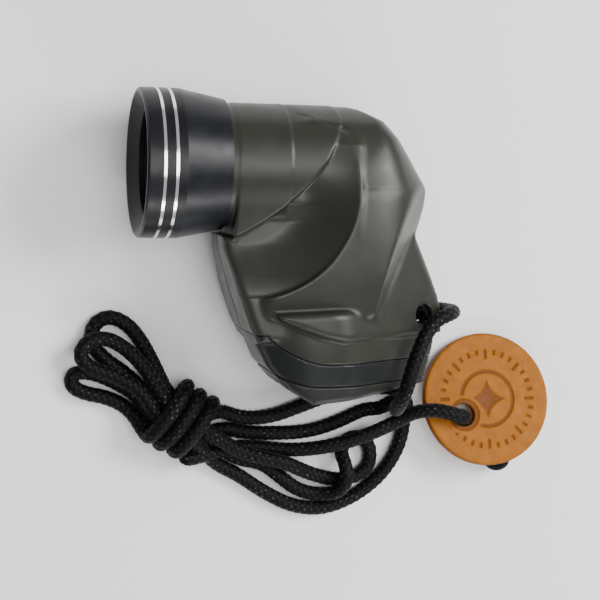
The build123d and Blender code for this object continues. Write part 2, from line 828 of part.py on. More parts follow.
OUTER_LOOP_ROUTE = [
    (42.0, -55.2, CORD_Z),
    (41.3, -62.0, CORD_Z),
    (38.0, -69.2, CORD_Z),
    (32.6, -75.4, CORD_Z),
    (24.6, -80.6, CORD_Z),
    (15.5, -83.4, CORD_Z),
    (6.0, -82.0, CORD_Z),
    (-3.0, -77.2, CORD_Z),
    (-11.0, -71.6, CORD_Z),
    (-17.0, -68.2, CORD_Z),
]
INNER_LOOP_ROUTE = [
    (-1.0, -67.6, CORD_Z),
    (2.2, -72.6, CORD_Z),
    (8.2, -77.2, CORD_Z),
    (15.0, -78.6, 3.0),
    (20.2, -77.6, 5.6),
    (22.5, -73.4, OVER_Z),
    (22.2, -68.8, 6.4),
    (21.2, -65.2, 3.4),
    (22.8, -61.8, CORD_Z),
    (26.6, -60.4, CORD_Z),
    (30.2, -62.2, CORD_Z),
    (31.4, -66.4, CORD_Z),
    (30.6, -70.4, CORD_Z),
    (27.2, -73.1, CORD_Z),
    (21.8, -74.3, CORD_Z),
    (14.8, -73.0, CORD_Z),
    (8.8, -70.4, 4.2),
    (3.4, -67.6, 6.4),
]
KNOT_BOX = [(34.0, -57.6), (44.4, -57.6), (44.4, -43.8), (34.0, -43.8)]
KNOT_HEIGHT = 13.6
KNOT_ROUND = 3.0
END_KNOT = (72.8, -67.9)
END_KNOT_R = 4.4
LOBES_OUTLINE = [
    (-33.0, -38.5),
    (-43.0, -24.5),
    (-50.0, -20.6),
    (-56.0, -23.0),
    (-61.8, -37.0),
    (-62.0, -43.0),
    (-54.5, -48.0),
    (-38.0, -53.0),
]
WAIST_OUTLINE = [
    (-29.5, -37.5),
    (-19.5, -42.0),
    (-18.5, -50.0),
    (-22.0, -68.5),
    (-33.0, -68.0),
    (-42.0, -58.0),
    (-38.5, -48.0),
]
TAIL_OUTLINE = [
    (-24.0, -47.5),
    (-14.0, -50.5),
    (-3.0, -52.5),
    (4.0, -58.0),
    (4.0, -68.5),
    (-12.0, -69.5),
    (-24.0, -66.0),
]
HANK_BLOCKS = [(LOBES_OUTLINE, 10.0, 3.0), (WAIST_OUTLINE, 15.8, 4.0), (TAIL_OUTLINE, 9.4, 3.0)]


def corner_radii(points):
    """Largest even radius at each corner: 0.45 of the shorter run over the half turn's tangent."""
    vectors = [Vector(*point) for point in points]
    radii = []
    for before, corner, after in zip(vectors, vectors[1:], vectors[2:]):
        run_in = corner - before
        run_out = after - corner
        half_turn = radians(run_in.get_angle(run_out)) / 2
        radii.append(0.45 * min(run_in.length, run_out.length) / tan(half_turn))
    return radii


def cord_tube(points, name):
    """Round cord along straight runs joined by tangent arcs."""
    radii = corner_radii(points)
    with BuildPart() as tube:
        with BuildLine():
            path = FilletPolyline(*points, radius=radii)
        with BuildSketch(Plane(origin=path @ 0, z_dir=path % 0)):
            Circle(CORD_D / 2)
        sweep()
    expected = path.length * pi * CORD_D**2 / 4
    print(name, "length", round(path.length, 1), "volume ratio", round(tube.part.volume / expected, 4))
    print("  radii", [round(radius, 1) for radius in radii])
    save(tube.part, name)


cord_tube(EAR_ROUTE, "cord_ear_strand")
cord_tube(TAG_ROUTE, "cord_tag_strand")
cord_tube(UPPER_ROUTE, "cord_strand_upper")
cord_tube(MIDDLE_ROUTE, "cord_strand_middle")
cord_tube(LOWER_ROUTE, "cord_strand_lower")
cord_tube(OUTER_LOOP_ROUTE, "cord_loop_outer")
cord_tube(INNER_LOOP_ROUTE, "cord_loop_inner")

with BuildPart() as cord_knot:
    with BuildSketch(Plane.XY.offset(FLOOR_GAP)):
        with BuildLine():
            Polyline(*KNOT_BOX, close=True)
        make_face()
    extrude(amount=KNOT_HEIGHT)
    fillet(cord_knot.edges(), KNOT_ROUND)
save(cord_knot.part, "cord_knot")

with BuildPart() as cord_end_knot:
    with Locations((*END_KNOT, END_KNOT_R + FLOOR_GAP)):
        Sphere(END_KNOT_R)
save(cord_end_knot.part, "cord_end_knot")

with BuildPart() as cord_hank:
    for outline, height, round_r in HANK_BLOCKS:
        with BuildPart(mode=Mode.PRIVATE) as block:
            with BuildSketch(Plane.XY.offset(FLOOR_GAP)):
                with BuildLine():
                    Polyline(*outline, close=True)
                make_face()
            extrude(amount=height)
            fillet(block.edges().filter_by(Axis.Z), round_r)
            fillet(block.faces().sort_by(Axis.Z)[-1].edges(), round_r - 0.5)
        add(block.part)
save(cord_hank.part, "cord_hank")
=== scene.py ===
import json
from math import cos, pi, radians, sin, sqrt

import bpy
import numpy as np
from mathutils import Matrix, Vector


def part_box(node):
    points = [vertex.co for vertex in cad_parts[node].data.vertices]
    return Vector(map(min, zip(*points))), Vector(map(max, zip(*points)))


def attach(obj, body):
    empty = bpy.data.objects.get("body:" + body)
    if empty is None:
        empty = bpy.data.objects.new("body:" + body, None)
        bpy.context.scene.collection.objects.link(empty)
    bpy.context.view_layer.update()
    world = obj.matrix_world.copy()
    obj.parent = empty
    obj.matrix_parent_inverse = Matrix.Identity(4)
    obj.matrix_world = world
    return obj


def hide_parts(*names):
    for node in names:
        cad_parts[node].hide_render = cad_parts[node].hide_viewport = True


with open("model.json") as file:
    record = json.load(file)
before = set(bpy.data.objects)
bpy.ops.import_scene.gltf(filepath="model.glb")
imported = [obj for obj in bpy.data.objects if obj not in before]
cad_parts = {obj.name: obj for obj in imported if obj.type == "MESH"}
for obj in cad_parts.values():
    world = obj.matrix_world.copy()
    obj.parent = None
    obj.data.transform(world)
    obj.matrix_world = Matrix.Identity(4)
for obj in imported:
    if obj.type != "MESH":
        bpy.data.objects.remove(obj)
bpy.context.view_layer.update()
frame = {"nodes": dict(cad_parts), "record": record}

# Handheld bearing compass, lying on its side, with its neck cord and leather tag.
# Millimetres inside this script; every mesh is scaled to metres when it is made.
MM = 0.001

# ---------------------------------------------------------------- where the compass stands
rim_low, rim_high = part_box("focus_barrel")
BARREL_FRONT = -48.7
HALF_WIDTH = 21.2
SHIFT = np.array(
    [
        rim_low.x / MM - BARREL_FRONT,
        (rim_low.y + rim_high.y) / 2 / MM,
        (rim_low.z + rim_high.z) / 2 / MM,
    ]
)


def placed(points):
    """Side coordinates (from the eyepiece axis and the midplane) to frame coordinates."""
    return np.asarray(points, float) + SHIFT


# ---------------------------------------------------------------- camera
YAW = radians(15)
ELEVATION = radians(6)
DISTANCE = 430.0
VIEW_WIDTH = 175.5
SENSOR_WIDTH = 36
LOOK_AT = (0.0, -38.9, 0.0)

toward = Vector((-sin(YAW) * cos(ELEVATION), sin(ELEVATION), cos(YAW) * cos(ELEVATION)))
target = Vector(placed(LOOK_AT))
camera_data = bpy.data.cameras.new("camera")
camera = bpy.data.objects.new("camera", camera_data)
bpy.context.scene.collection.objects.link(camera)
up = Vector((1, 0, 0)).cross(-toward).normalized()
if up.y < 0:
    up = -up
right = (-toward).cross(up).normalized()
rotation = Matrix((right, up, toward)).transposed().to_4x4()
camera.matrix_world = Matrix.Translation((target + toward * DISTANCE) * MM) @ rotation
camera_data.sensor_width = SENSOR_WIDTH
camera_data.lens = SENSOR_WIDTH * DISTANCE / VIEW_WIDTH
camera_data.clip_start = 0.01
bpy.context.scene.camera = camera


# ---------------------------------------------------------------- mesh helpers
RELAX_STEPS = 3
RELAX_SHARE = 0.9
LEAST_SLOPE = 0.2
LONGEST_MOVE = 0.3


def mesh_object(name, points, faces):
    """Smooth-shaded mesh object from millimetre points and faces with equal numbers of corners."""
    faces = np.asarray(faces, np.int32)
    mesh = bpy.data.meshes.new(name)
    mesh.vertices.add(len(points))
    mesh.vertices.foreach_set("co", (np.asarray(points, float) * MM).astype(np.float32).ravel())
    mesh.loops.add(faces.size)
    mesh.loops.foreach_set("vertex_index", faces.ravel())
    mesh.polygons.add(len(faces))
    mesh.polygons.foreach_set("loop_start", np.arange(0, faces.size, faces.shape[1], dtype=np.int32))
    mesh.update(calc_edges=True)
    mesh.validate()
    mesh.polygons.foreach_set("use_smooth", np.ones(len(mesh.polygons), bool))
    made = bpy.data.objects.new(name, mesh)
    bpy.context.scene.collection.objects.link(made)
    return made


def smooth_max(a, b, blend):
    """Larger of two fields with the corner rounded over a length."""
    share = np.clip(0.5 + 0.5 * (a - b) / blend, 0, 1)
    return b + (a - b) * share + blend * share * (1 - share)


def smooth_min(a, b, blend):
    return -smooth_max(-a, -b, blend)


def polygon_field(x, y, corners):
    """Signed distance to a closed outline, negative inside."""
    best = np.full(x.shape, 1e9)
    inside = np.zeros(x.shape, bool)
    for (ax, ay), (bx, by) in zip(corners, corners[1:] + corners[:1]):
        ex, ey = bx - ax, by - ay
        along = np.clip(((x - ax) * ex + (y - ay) * ey) / (ex * ex + ey * ey), 0, 1)
        best = np.minimum(best, np.hypot(x - ax - along * ex, y - ay - along * ey))
        crosses = (ay > y) != (by > y)
        height = ey if ey else 1.0
        inside ^= crosses & (x < ax + ex * (y - ay) / height)
    return np.where(inside, -best, best)


def field_mesh(name, field, low, high, step, place=placed):
    """Closed mesh of a field's zero surface: one vertex in each cell that it crosses, moved onto it."""
    axes = [np.arange(a - step, b + 2 * step, step) for a, b in zip(low, high)]
    grid = np.meshgrid(*axes, indexing="ij")
    value = field(*grid)
    inside = value < 0
    shape = tuple(n - 1 for n in inside.shape)
    corners = [(i, j, k) for i in (0, 1) for j in (0, 1) for k in (0, 1)]
    total = np.zeros(shape + (3,))
    count = np.zeros(shape)
    for first in corners:
        for axis in range(3):
            if first[axis]:
                continue
            second = tuple(first[n] + (n == axis) for n in range(3))
            a = value[tuple(slice(first[n], first[n] + shape[n]) for n in range(3))]
            b = value[tuple(slice(second[n], second[n] + shape[n]) for n in range(3))]
            crossed = (a < 0) != (b < 0)
            gap = np.where(crossed, a - b, 1.0)
            share = np.where(crossed, a / gap, 0.0)
            for n in range(3):
                total[..., n] += crossed * (first[n] + (share if n == axis else 0.0))
            count += crossed
    used = count > 0
    number = np.full(shape, -1, np.int64)
    number[used] = np.arange(used.sum())
    cells = np.argwhere(used)
    origin = np.array([axis[0] for axis in axes])
    points = origin + step * (cells + total[used] / count[used][:, None])
    faces = []
    for axis in range(3):
        u, v = (axis + 1) % 3, (axis + 2) % 3
        low_side = [slice(1, -1)] * 3
        high_side = [slice(1, -1)] * 3
        low_side[axis] = slice(0, -1)
        high_side[axis] = slice(1, None)
        a, b = inside[tuple(low_side)], inside[tuple(high_side)]
        for crossed, turn in ((a & ~b, 1), (~a & b, -1)):
            edge = np.argwhere(crossed)
            edge[:, u] += 1
            edge[:, v] += 1
            ring = []
            for du, dv in ((0, 0), (-1, 0), (-1, -1), (0, -1))[::turn]:
                cell = edge.copy()
                cell[:, u] += du
                cell[:, v] += dv
                ring.append(number[cell[:, 0], cell[:, 1], cell[:, 2]])
            faces.append(np.stack(ring, axis=1))
    faces = np.concatenate(faces)
    for _ in range(RELAX_STEPS):
        points -= newton(field, points, step / 20) * RELAX_SHARE
    return mesh_object(name, place(points), faces)


def newton(field, points, delta):
    """Step from each point to the field's zero surface along the field's slope."""
    x, y, z = points.T
    here = field(x, y, z)
    slope = np.stack(
        [
            field(x + delta, y, z) - field(x - delta, y, z),
            field(x, y + delta, z) - field(x, y - delta, z),
            field(x, y, z + delta) - field(x, y, z - delta),
        ],
        axis=1,
    ) / (2 * delta)
    size = np.maximum((slope**2).sum(axis=1), LEAST_SLOPE)
    move = slope * (here / size)[:, None]
    length = np.linalg.norm(move, axis=1, keepdims=True)
    return move * np.minimum(1, LONGEST_MOVE / np.maximum(length, 1e-9))


# ---------------------------------------------------------------- materials
def new_material(name, colour, roughness, metallic=0.0, specular=0.5):
    made = bpy.data.materials.new(name)
    made.use_nodes = True
    shader = made.node_tree.nodes["Principled BSDF"]
    shader.inputs["Base Color"].default_value = (*colour, 1)
    shader.inputs["Roughness"].default_value = roughness
    shader.inputs["Metallic"].default_value = metallic
    shader.inputs["Specular IOR Level"].default_value = specular
    return made, made.node_tree, shader


def noise(tree, scale, detail=2.0, stretch=None):
    """Noise over object coordinates, which are metres."""
    place = tree.nodes.new("ShaderNodeTexCoord")
    texture = tree.nodes.new("ShaderNodeTexNoise")
    texture.inputs["Scale"].default_value = scale
    texture.inputs["Detail"].default_value = detail
    if stretch:
        mapping = tree.nodes.new("ShaderNodeMapping")
        mapping.inputs["Scale"].default_value = stretch
        tree.links.new(place.outputs["Object"], mapping.inputs["Vector"])
        tree.links.new(mapping.outputs["Vector"], texture.inputs["Vector"])
    else:
        tree.links.new(place.outputs["Object"], texture.inputs["Vector"])
    return texture.outputs["Fac"]


def ramp(tree, source, stops):
    """Colours or greys along a value."""
    node = tree.nodes.new("ShaderNodeValToRGB")
    elements = node.color_ramp.elements
    elements[0].position, elements[0].color = stops[0][0], (*stops[0][1], 1)
    elements[1].position, elements[1].color = stops[-1][0], (*stops[-1][1], 1)
    for position, colour in stops[1:-1]:
        element = elements.new(position)
        element.color = (*colour, 1)
    tree.links.new(source, node.inputs["Fac"])
    return node.outputs["Color"]


def vary_colour(tree, shader, source, stops):
    tree.links.new(ramp(tree, source, stops), shader.inputs["Base Color"])


def vary_roughness(tree, shader, source, low, high, start=0.3, end=0.7):
    """Roughness that goes from low to high while the source goes from start to end."""
    greys = [(start, (low,) * 3), (end, (high,) * 3)]
    tree.links.new(ramp(tree, source, greys), shader.inputs["Roughness"])


def bump(tree, shader, source, strength, distance):
    """Small relief; the distance is in millimetres."""
    node = tree.nodes.new("ShaderNodeBump")
    node.inputs["Strength"].default_value = strength
    node.inputs["Distance"].default_value = distance * MM
    tree.links.new(source, node.inputs["Height"])
    tree.links.new(node.outputs["Normal"], shader.inputs["Normal"])


def moulded(name, colour, roughness, spread=0.10):
    """Satin moulded plastic: slow colour drift, patchy gloss from handling and a fine spark grain."""
    made, tree, shader = new_material(name, colour, roughness, specular=0.32)
    darker = [c * (1 - spread) for c in colour]
    lighter = [c * (1 + spread) for c in colour]
    vary_colour(tree, shader, noise(tree, scale=70, detail=3), [(0.35, darker), (0.65, lighter)])
    gloss = noise(tree, scale=160, detail=4)
    vary_roughness(tree, shader, gloss, low=roughness - 0.05, high=roughness + 0.06)
    bump(tree, shader, noise(tree, scale=5200), strength=0.25, distance=0.01)
    return made


def satin_black():
    """Turned and anodised barrel: faint turning lines round the axis under a bluish sheen."""
    made, tree, shader = new_material("barrel_black", (0.002, 0.0025, 0.004), 0.34, specular=0.28)
    lines = noise(tree, scale=900, stretch=(3.0, 0.02, 0.02))
    vary_colour(tree, shader, lines, [(0.3, (0.003, 0.0035, 0.005)), (0.7, (0.006, 0.007, 0.010))])
    vary_roughness(tree, shader, noise(tree, scale=220, detail=3), low=0.3, high=0.4)
    bump(tree, shader, lines, strength=0.12, distance=0.01)
    return made


def bright_metal():
    """Polished metal with faint turning lines."""
    made, tree, shader = new_material("bright_metal", (0.92, 0.91, 0.89), 0.12, metallic=1.0)
    lines = noise(tree, scale=1500, stretch=(4.0, 0.03, 0.03))
    vary_roughness(tree, shader, lines, low=0.10, high=0.22)
    return made


def brushed(name, colour, roughness):
    """Metal with fine scratches one way."""
    made, tree, shader = new_material(name, colour, roughness, metallic=1.0)
    scratch = noise(tree, scale=2500, detail=3, stretch=(1.0, 0.15, 1.0))
    vary_roughness(tree, shader, scratch, low=roughness * 0.8, high=roughness * 1.3)
    bump(tree, shader, scratch, strength=0.1, distance=0.01)
    return made


def lens_glass():
    """Coated lens with a painted reflection: a warm grey base colour and a faint constant glow stand in
    for the reflection seen in the lens, over a dark inside.
    """
    # Painted reflection: the warm grey base colour stands in for what the lens reflects.
    made, tree, shader = new_material("lens_glass", (0.26, 0.235, 0.19), 0.03)
    shader.inputs["Transmission Weight"].default_value = 0.1
    shader.inputs["IOR"].default_value = 1.52
    shader.inputs["Coat Weight"].default_value = 0.5
    # Painted reflection: a constant warm glow, though the lens is no lamp.
    shader.inputs["Emission Color"].default_value = (0.42, 0.37, 0.29, 1)
    shader.inputs["Emission Strength"].default_value = 0.3
    smear = noise(tree, scale=120, detail=3)
    vary_roughness(tree, shader, smear, low=0.02, high=0.07, start=0.4, end=0.8)
    return made


def clear_plastic():
    made, tree, shader = new_material("capsule_plastic", (0.85, 0.87, 0.85), 0.12)
    shader.inputs["Transmission Weight"].default_value = 0.8
    vary_roughness(tree, shader, noise(tree, scale=300), low=0.08, high=0.18)
    return made


def mirror_glass():
    made, tree, shader = new_material("mirror_glass", (0.93, 0.93, 0.94), 0.03, metallic=1.0)
    dust = noise(tree, scale=200)
    vary_roughness(tree, shader, dust, low=0.02, high=0.06, start=0.4, end=0.8)
    return made


def soft_rubber():
    made, tree, shader = new_material("seal_rubber", (0.012, 0.012, 0.012), 0.75)
    bloom = noise(tree, scale=400, detail=3)
    vary_colour(tree, shader, bloom, [(0.3, (0.009,) * 3), (0.7, (0.018,) * 3)])
    bump(tree, shader, noise(tree, scale=3000), strength=0.3, distance=0.02)
    return made


def point_value(tree, name):
    """A value stored on a mesh's vertices."""
    node = tree.nodes.new("ShaderNodeAttribute")
    node.attribute_name = name
    return node.outputs["Fac"]


# Braid colours: near black in the grooves between yarns (painted shade) up to pale bluish flecks on the
# yarn crowns (painted highlights).
BRAID_SHADE_AND_HIGHLIGHT_COLOURS = [
    (0.0, (0.0005, 0.0005, 0.0006)),
    (0.4, (0.002, 0.002, 0.003)),
    (0.52, (0.012, 0.013, 0.016)),
    (0.66, (0.11, 0.12, 0.14)),
]


def braid():
    """Black polyester braid with painted light: pale painted highlights where the yarns crown, and
    painted shade in the grooves between them.
    """
    made, tree, shader = new_material("cord_braid", (0.002, 0.002, 0.003), 0.6, specular=0.12)
    crown = point_value(tree, "crown")
    # Painted highlights and groove shade: the colour follows the yarn crown times a noise.
    painted_glints = tree.nodes.new("ShaderNodeMath")
    painted_glints.operation = "MULTIPLY"
    tree.links.new(crown, painted_glints.inputs[0])
    tree.links.new(noise(tree, scale=800, detail=3), painted_glints.inputs[1])
    vary_colour(tree, shader, painted_glints.outputs["Value"], BRAID_SHADE_AND_HIGHLIGHT_COLOURS)
    vary_roughness(tree, shader, crown, low=0.8, high=0.34, start=0.0, end=1.0)
    shader.inputs["Sheen Weight"].default_value = 0.05
    shader.inputs["Sheen Roughness"].default_value = 0.4
    bump(tree, shader, noise(tree, scale=9000), strength=0.3, distance=0.03)
    return made


def tanned_leather():
    """Vegetable tanned leather: mottled orange brown, darker in pressed lines and at the cut edge."""
    made, tree, shader = new_material("tag_leather", (0.30, 0.10, 0.006), 0.6, specular=0.15)
    mottle_stops = [(0.3, (0.25, 0.078, 0.003)), (0.7, (0.32, 0.108, 0.006))]
    mottle = ramp(tree, noise(tree, scale=260, detail=5), mottle_stops)
    mix = tree.nodes.new("ShaderNodeMix")
    mix.data_type = "RGBA"
    mix.inputs["B"].default_value = (0.10, 0.027, 0.002, 1)
    tree.links.new(point_value(tree, "pressed"), mix.inputs["Factor"])
    tree.links.new(mottle, mix.inputs["A"])
    tree.links.new(mix.outputs["Result"], shader.inputs["Base Color"])
    vary_roughness(tree, shader, noise(tree, scale=700, detail=3), low=0.45, high=0.65)
    cells = tree.nodes.new("ShaderNodeTexVoronoi")
    cells.inputs["Scale"].default_value = 1900
    place = tree.nodes.new("ShaderNodeTexCoord")
    tree.links.new(place.outputs["Object"], cells.inputs["Vector"])
    bump(tree, shader, cells.outputs["Distance"], strength=0.25, distance=0.06)
    return made


barrel_black = satin_black()
SLOT_MATERIALS = {
    "casing_plastic": moulded("casing_plastic", (0.020, 0.0205, 0.016), 0.36),
    "ring_plastic": moulded("band_plastic", (0.007, 0.0085, 0.0085), 0.38),
    "base_plastic": moulded("sole_plastic", (0.009, 0.010, 0.008), 0.42),
    "barrel_plastic": moulded("inner_black", (0.006, 0.006, 0.007), 0.6),
    "bright_metal": bright_metal(),
    "screw_steel": brushed("screw_steel", (0.045, 0.045, 0.05), 0.42),
    "filler_brass": brushed("filler_brass", (0.70, 0.52, 0.22), 0.3),
    "lens_glass": lens_glass(),
    "capsule_plastic": clear_plastic(),
    "card_white": moulded("card_white", (0.78, 0.76, 0.68), 0.5, spread=0.04),
    "mirror_glass": mirror_glass(),
    "seal_rubber": soft_rubber(),
    "cord_black": braid(),
    "tag_leather": tanned_leather(),
}


def dress(piece, material):
    piece.data.materials.clear()
    piece.data.materials.append(material)


SLOT_OF = {part["node"]: part["material_slot"] for part in frame["record"]["subparts"]}
for node_name, node in frame["nodes"].items():
    dress(node, SLOT_MATERIALS[SLOT_OF[node_name]])
dress(frame["nodes"]["focus_barrel"], barrel_black)


SHARP_ANGLE = radians(35)


def soften(piece, width):
    """Small rounded edges on a carried-over node."""
    modifier = piece.modifiers.new("edge", "BEVEL")
    modifier.width = width * MM
    modifier.segments = 3
    modifier.limit_method = "ANGLE"
    modifier.angle_limit = SHARP_ANGLE
    modifier.harden_normals = True


# ---------------------------------------------------------------- outer form of the casing
# Every field below gives millimetres outside the surface, negative inside. x runs to the rear from
# the eyepiece, y up from its axis and z out from the midplane.
TUBE_R = 17.5
TUBE_FRONT = -35.2
NECK_END = -8.0
MIRROR_X = 16.0
CARD_X = 4.0
EDGE_R = 0.3
SEAM_GAP = 0.07
BAND_SEAM = {"level": -55.5, "curve": 0.024, "start": 5.0, "reach": 18.5}
CAP_SEAM = {"level": -62.0, "curve": 0.022, "start": 2.0, "reach": 16.0}

# The flank: its crown over the tube, its bulging side, its elbow and its back facet.
WIDEN_START = 2.0
WIDEN_LENGTH = 9.0
CROWN_BASE = -5.0
CROWN_HEIGHT = 22.5
CROWN_HALF_WIDTH = 19.6
CROWN_SCALE = 18.5
UNDER_AXIS_SLOPE = 0.8
WIDEST_Y = -19.0
BULGE_SPREAD = 140.0
BULGE_SCALE = 0.96
ELBOW_START = 8.0
FLANK_BOTTOM = -43.0
FLANK_FRONT = -16.5
FACET_POINT = (22.1, -18.4, 21.0)
FACET_NORMAL = (0.824, -0.230, 0.517)

# The scoop between the tube and the flank, and the cowl over the tube's side.
SCOOP_CENTRE = (-20.5, -5.0)
SCOOP_R = 32.0
SCOOP_FLAT_R = 17.0
SCOOP_RISE_POWER = 1.6
SCOOP_SCALE = 0.85
RIDGE_TOP = 11.0
TUBE_WALL_R = 15.9
COWL_NORMAL = (-0.343, 0.939)
COWL_TANGENT = -0.365

# The lower body: an ear that thins towards the lanyard hole, the rounded nose and the drafted wall.
LANYARD_HOLE = (37.0, -42.7)
LANYARD_HOLE_R = 3.0
EAR_HALF_THICKNESS = 4.5
EAR_SLOPE = (-0.571, -0.118)
EAR_SCALE = 1.158
NOSE_START = 6.0
NOSE_LENGTH = 25.0
NOSE_HALF_WIDTH = 19.8
WALL_HALF_WIDTH = 19.4
WALL_STEP = 1.8
DRAFT_TOP = -49.0
DRAFT = 0.14

# The hollows, and the recesses of the screws on the table side.
BARREL_BORE_R = 15.3
INNER_BORE_R = 13.0
BORE_STEP_X = -20.0
BORE_END_X = 12.0
LIGHT_WELL = (-43.5, -2.0)
LIGHT_WELL_STEP_Y = -18.0
UPPER_WELL_R = 13.5
LOWER_WELL_R = 10.5
CAPSULE_WELL = (-58.0, -43.0)
BAND_BORE_R = 12.5
BAND_INSET = 0.12
CAP_POCKET_R = 10.0
CAP_POCKET_FLOOR = -64.5
SCREW_SPOTS = ((31.0, 1.0), (-18.0, -28.0), (31.5, -25.0), (34.0, -53.0))
SCREW_RECESS_R = 2.1
SCREW_RECESS_Z = -3.0
HOLDER_R = 15.2
HOLDER_REAR_X = 25.8
HOLDER_INSET = 1.2
MIRROR_SETBACK = 1.55

# Tables of (depth below the eyepiece axis, value).
ELBOW_REAR = [
    (-17.5, 12.0), (-16.7, 15.2), (-13.7, 22.1), (-8.9, 27.2), (-3.0, 31.2), (1.8, 34.2),
    (6.4, 37.2), (20.0, 38.5),
]
RIDGE_HEIGHT = [
    (-12.0, 13.0), (-6.7, 16.5), (-0.3, 18.5), (5.6, 20.0), (10.2, 20.6), (14.9, 20.6),
    (23.0, 20.0), (31.0, 18.4), (36.0, 16.4),
]
FLOOR_HEIGHT = [
    (-12.0, 12.2), (-7.0, 14.6), (-2.0, 15.6), (7.3, 13.0), (15.5, 10.4), (22.0, 10.4), (36.0, 11.4),
]
RIDGE_BLEND = [(-6.0, 3.5), (8.0, 2.2), (20.0, 0.8)]
CAPSULE_WELL_R = [(48.0, 17.5), (58.0, 9.7)]

# Outlines seen from the side, as (x, y).
COWL_OUTLINE = [
    (-22.5, 18.5), (7.0, 18.5), (7.4, 14.0), (6.2, 10.0), (4.6, 6.0), (2.6, 2.0), (-0.9, -2.8),
    (-4.9, -7.3), (-9.3, -11.7), (-14.3, -15.5), (-19.0, -18.5), (-22.5, -20.4),
]
CHIN_OUTLINE = [
    (-22.6, 10.0), (-22.6, -19.8), (-25.4, -19.8), (-24.9, -24.0), (-21.8, -34.5), (-18.0, -45.0),
    (-15.6, -50.0), (12.0, -50.0), (14.0, 10.0), (0.0, 14.0),
]
PAD_OUTLINE = [
    (-11.6, -41.0), (14.5, -39.6), (33.8, -18.6), (43.2, -37.4), (44.5, -41.0), (44.5, -48.8),
    (26.0, -48.9), (8.0, -48.9), (2.0, -47.6), (-4.2, -45.4), (-10.2, -42.6),
]
LOWER_OUTLINE = [
    (-19.0, -42.5), (14.5, -41.6), (31.0, -24.0), (33.6, -20.0), (43.2, -37.4), (44.5, -41.0),
    (44.5, -46.5), (39.6, -61.0), (39.0, -63.8), (1.0, -67.5), (-5.7, -63.6), (-12.0, -57.0),
    (-15.6, -50.0), (-18.2, -44.5),
]


def along_height(y, table):
    """Value from a table of (depth below the axis, value)."""
    return np.interp(-y, [row[0] for row in table], [row[1] for row in table])


def between(value, low, high):
    """Field of a slab between two levels."""
    return np.maximum(value - high, low - value)


def scoop_radius(x, y):
    return np.hypot(x - SCOOP_CENTRE[0], y - SCOOP_CENTRE[1])


def flank_field(x, y, z):
    """The wide flank behind the scoop, rounded over the elbow and cut by the back facet."""
    side = np.abs(z)
    widen = np.clip((x - WIDEN_START) / WIDEN_LENGTH, 0, 1)
    tube = np.hypot(np.maximum(y, 0), z) - TUBE_R + UNDER_AXIS_SLOPE * np.minimum(y, 0)
    above = y - CROWN_BASE
    oval = np.hypot(np.maximum(above, 0) / CROWN_HEIGHT, z / CROWN_HALF_WIDTH)
    wide = (oval - 1) * CROWN_SCALE + UNDER_AXIS_SLOPE * np.minimum(above, 0)
    crown = tube + (wide - tube) * widen
    bulge = (side - (HALF_WIDTH - (y - WIDEST_Y) ** 2 / BULGE_SPREAD)) * BULGE_SCALE
    section = smooth_max(crown, bulge, blend=2.5)
    reach = along_height(y, ELBOW_REAR) - ELBOW_START
    elbow = np.hypot(np.maximum(x - ELBOW_START, 0) * HALF_WIDTH / reach, z) - HALF_WIDTH
    body = smooth_max(section, elbow, blend=3.0)
    body = smooth_max(smooth_max(body, FLANK_BOTTOM - y, blend=2.0), FLANK_FRONT - x, blend=6.0)
    ridge = SCOOP_R - scoop_radius(x, y) - 2.0 * np.clip(y - RIDGE_TOP, 0, 4)
    body = smooth_max(body, ridge, along_height(y, RIDGE_BLEND))
    facet = sum((value - point) * n for value, point, n in zip((x, y, side), FACET_POINT, FACET_NORMAL))
    return smooth_max(body, facet, blend=0.9)


def scoop_floor(x, y):
    """Height of the hollow between the tube and the flank; it rises to the flank's ridge."""
    share = np.clip((scoop_radius(x, y) - SCOOP_FLAT_R) / (SCOOP_R - SCOOP_FLAT_R), 0, 1)
    rise = share**SCOOP_RISE_POWER
    over_tube = np.sqrt(np.maximum(TUBE_WALL_R**2 - y**2, 0))
    low = np.maximum(along_height(y, FLOOR_HEIGHT), over_tube)
    return low + (along_height(y, RIDGE_HEIGHT) - low) * rise


def cowl_field(x, y, z):
    """The tube's side, flatter below the axis, ending in a crisp edge over the scoop."""
    side = np.abs(z)
    tangent = COWL_NORMAL[0] * y + COWL_NORMAL[1] * side - TUBE_R
    profile = np.where(y < COWL_TANGENT * side, tangent, np.hypot(y, z) - TUBE_R)
    return smooth_max(profile, polygon_field(x, y, COWL_OUTLINE), blend=0.7)


def lower_field(x, y, z):
    """The body under the flank, with the raised pad whose rear end is the ear for the cord."""
    side = np.abs(z)
    ear = (
        EAR_HALF_THICKNESS
        + EAR_SLOPE[0] * (x - LANYARD_HOLE[0])
        + EAR_SLOPE[1] * (y - LANYARD_HOLE[1])
    )
    plane = (side - ear) / EAR_SCALE
    pad = smooth_max(plane, side - HALF_WIDTH, blend=2.0)
    pad = smooth_max(pad, polygon_field(x, y, PAD_OUTLINE), blend=2.4)
    ahead = (np.minimum(x, NOSE_START) - NOSE_START) / NOSE_LENGTH
    nose = (np.hypot(ahead, side / NOSE_HALF_WIDTH) - 1) * NOSE_HALF_WIDTH
    draft = smooth_max(DRAFT_TOP - y, np.zeros_like(y), blend=5.0) * DRAFT
    wall = smooth_max(plane + WALL_STEP, nose, blend=2.0)
    wall = smooth_max(wall, side - WALL_HALF_WIDTH, blend=2.0) + draft
    wall = smooth_max(wall, polygon_field(x, y, LOWER_OUTLINE), blend=2.0)
    return smooth_min(wall, pad, blend=1.2)


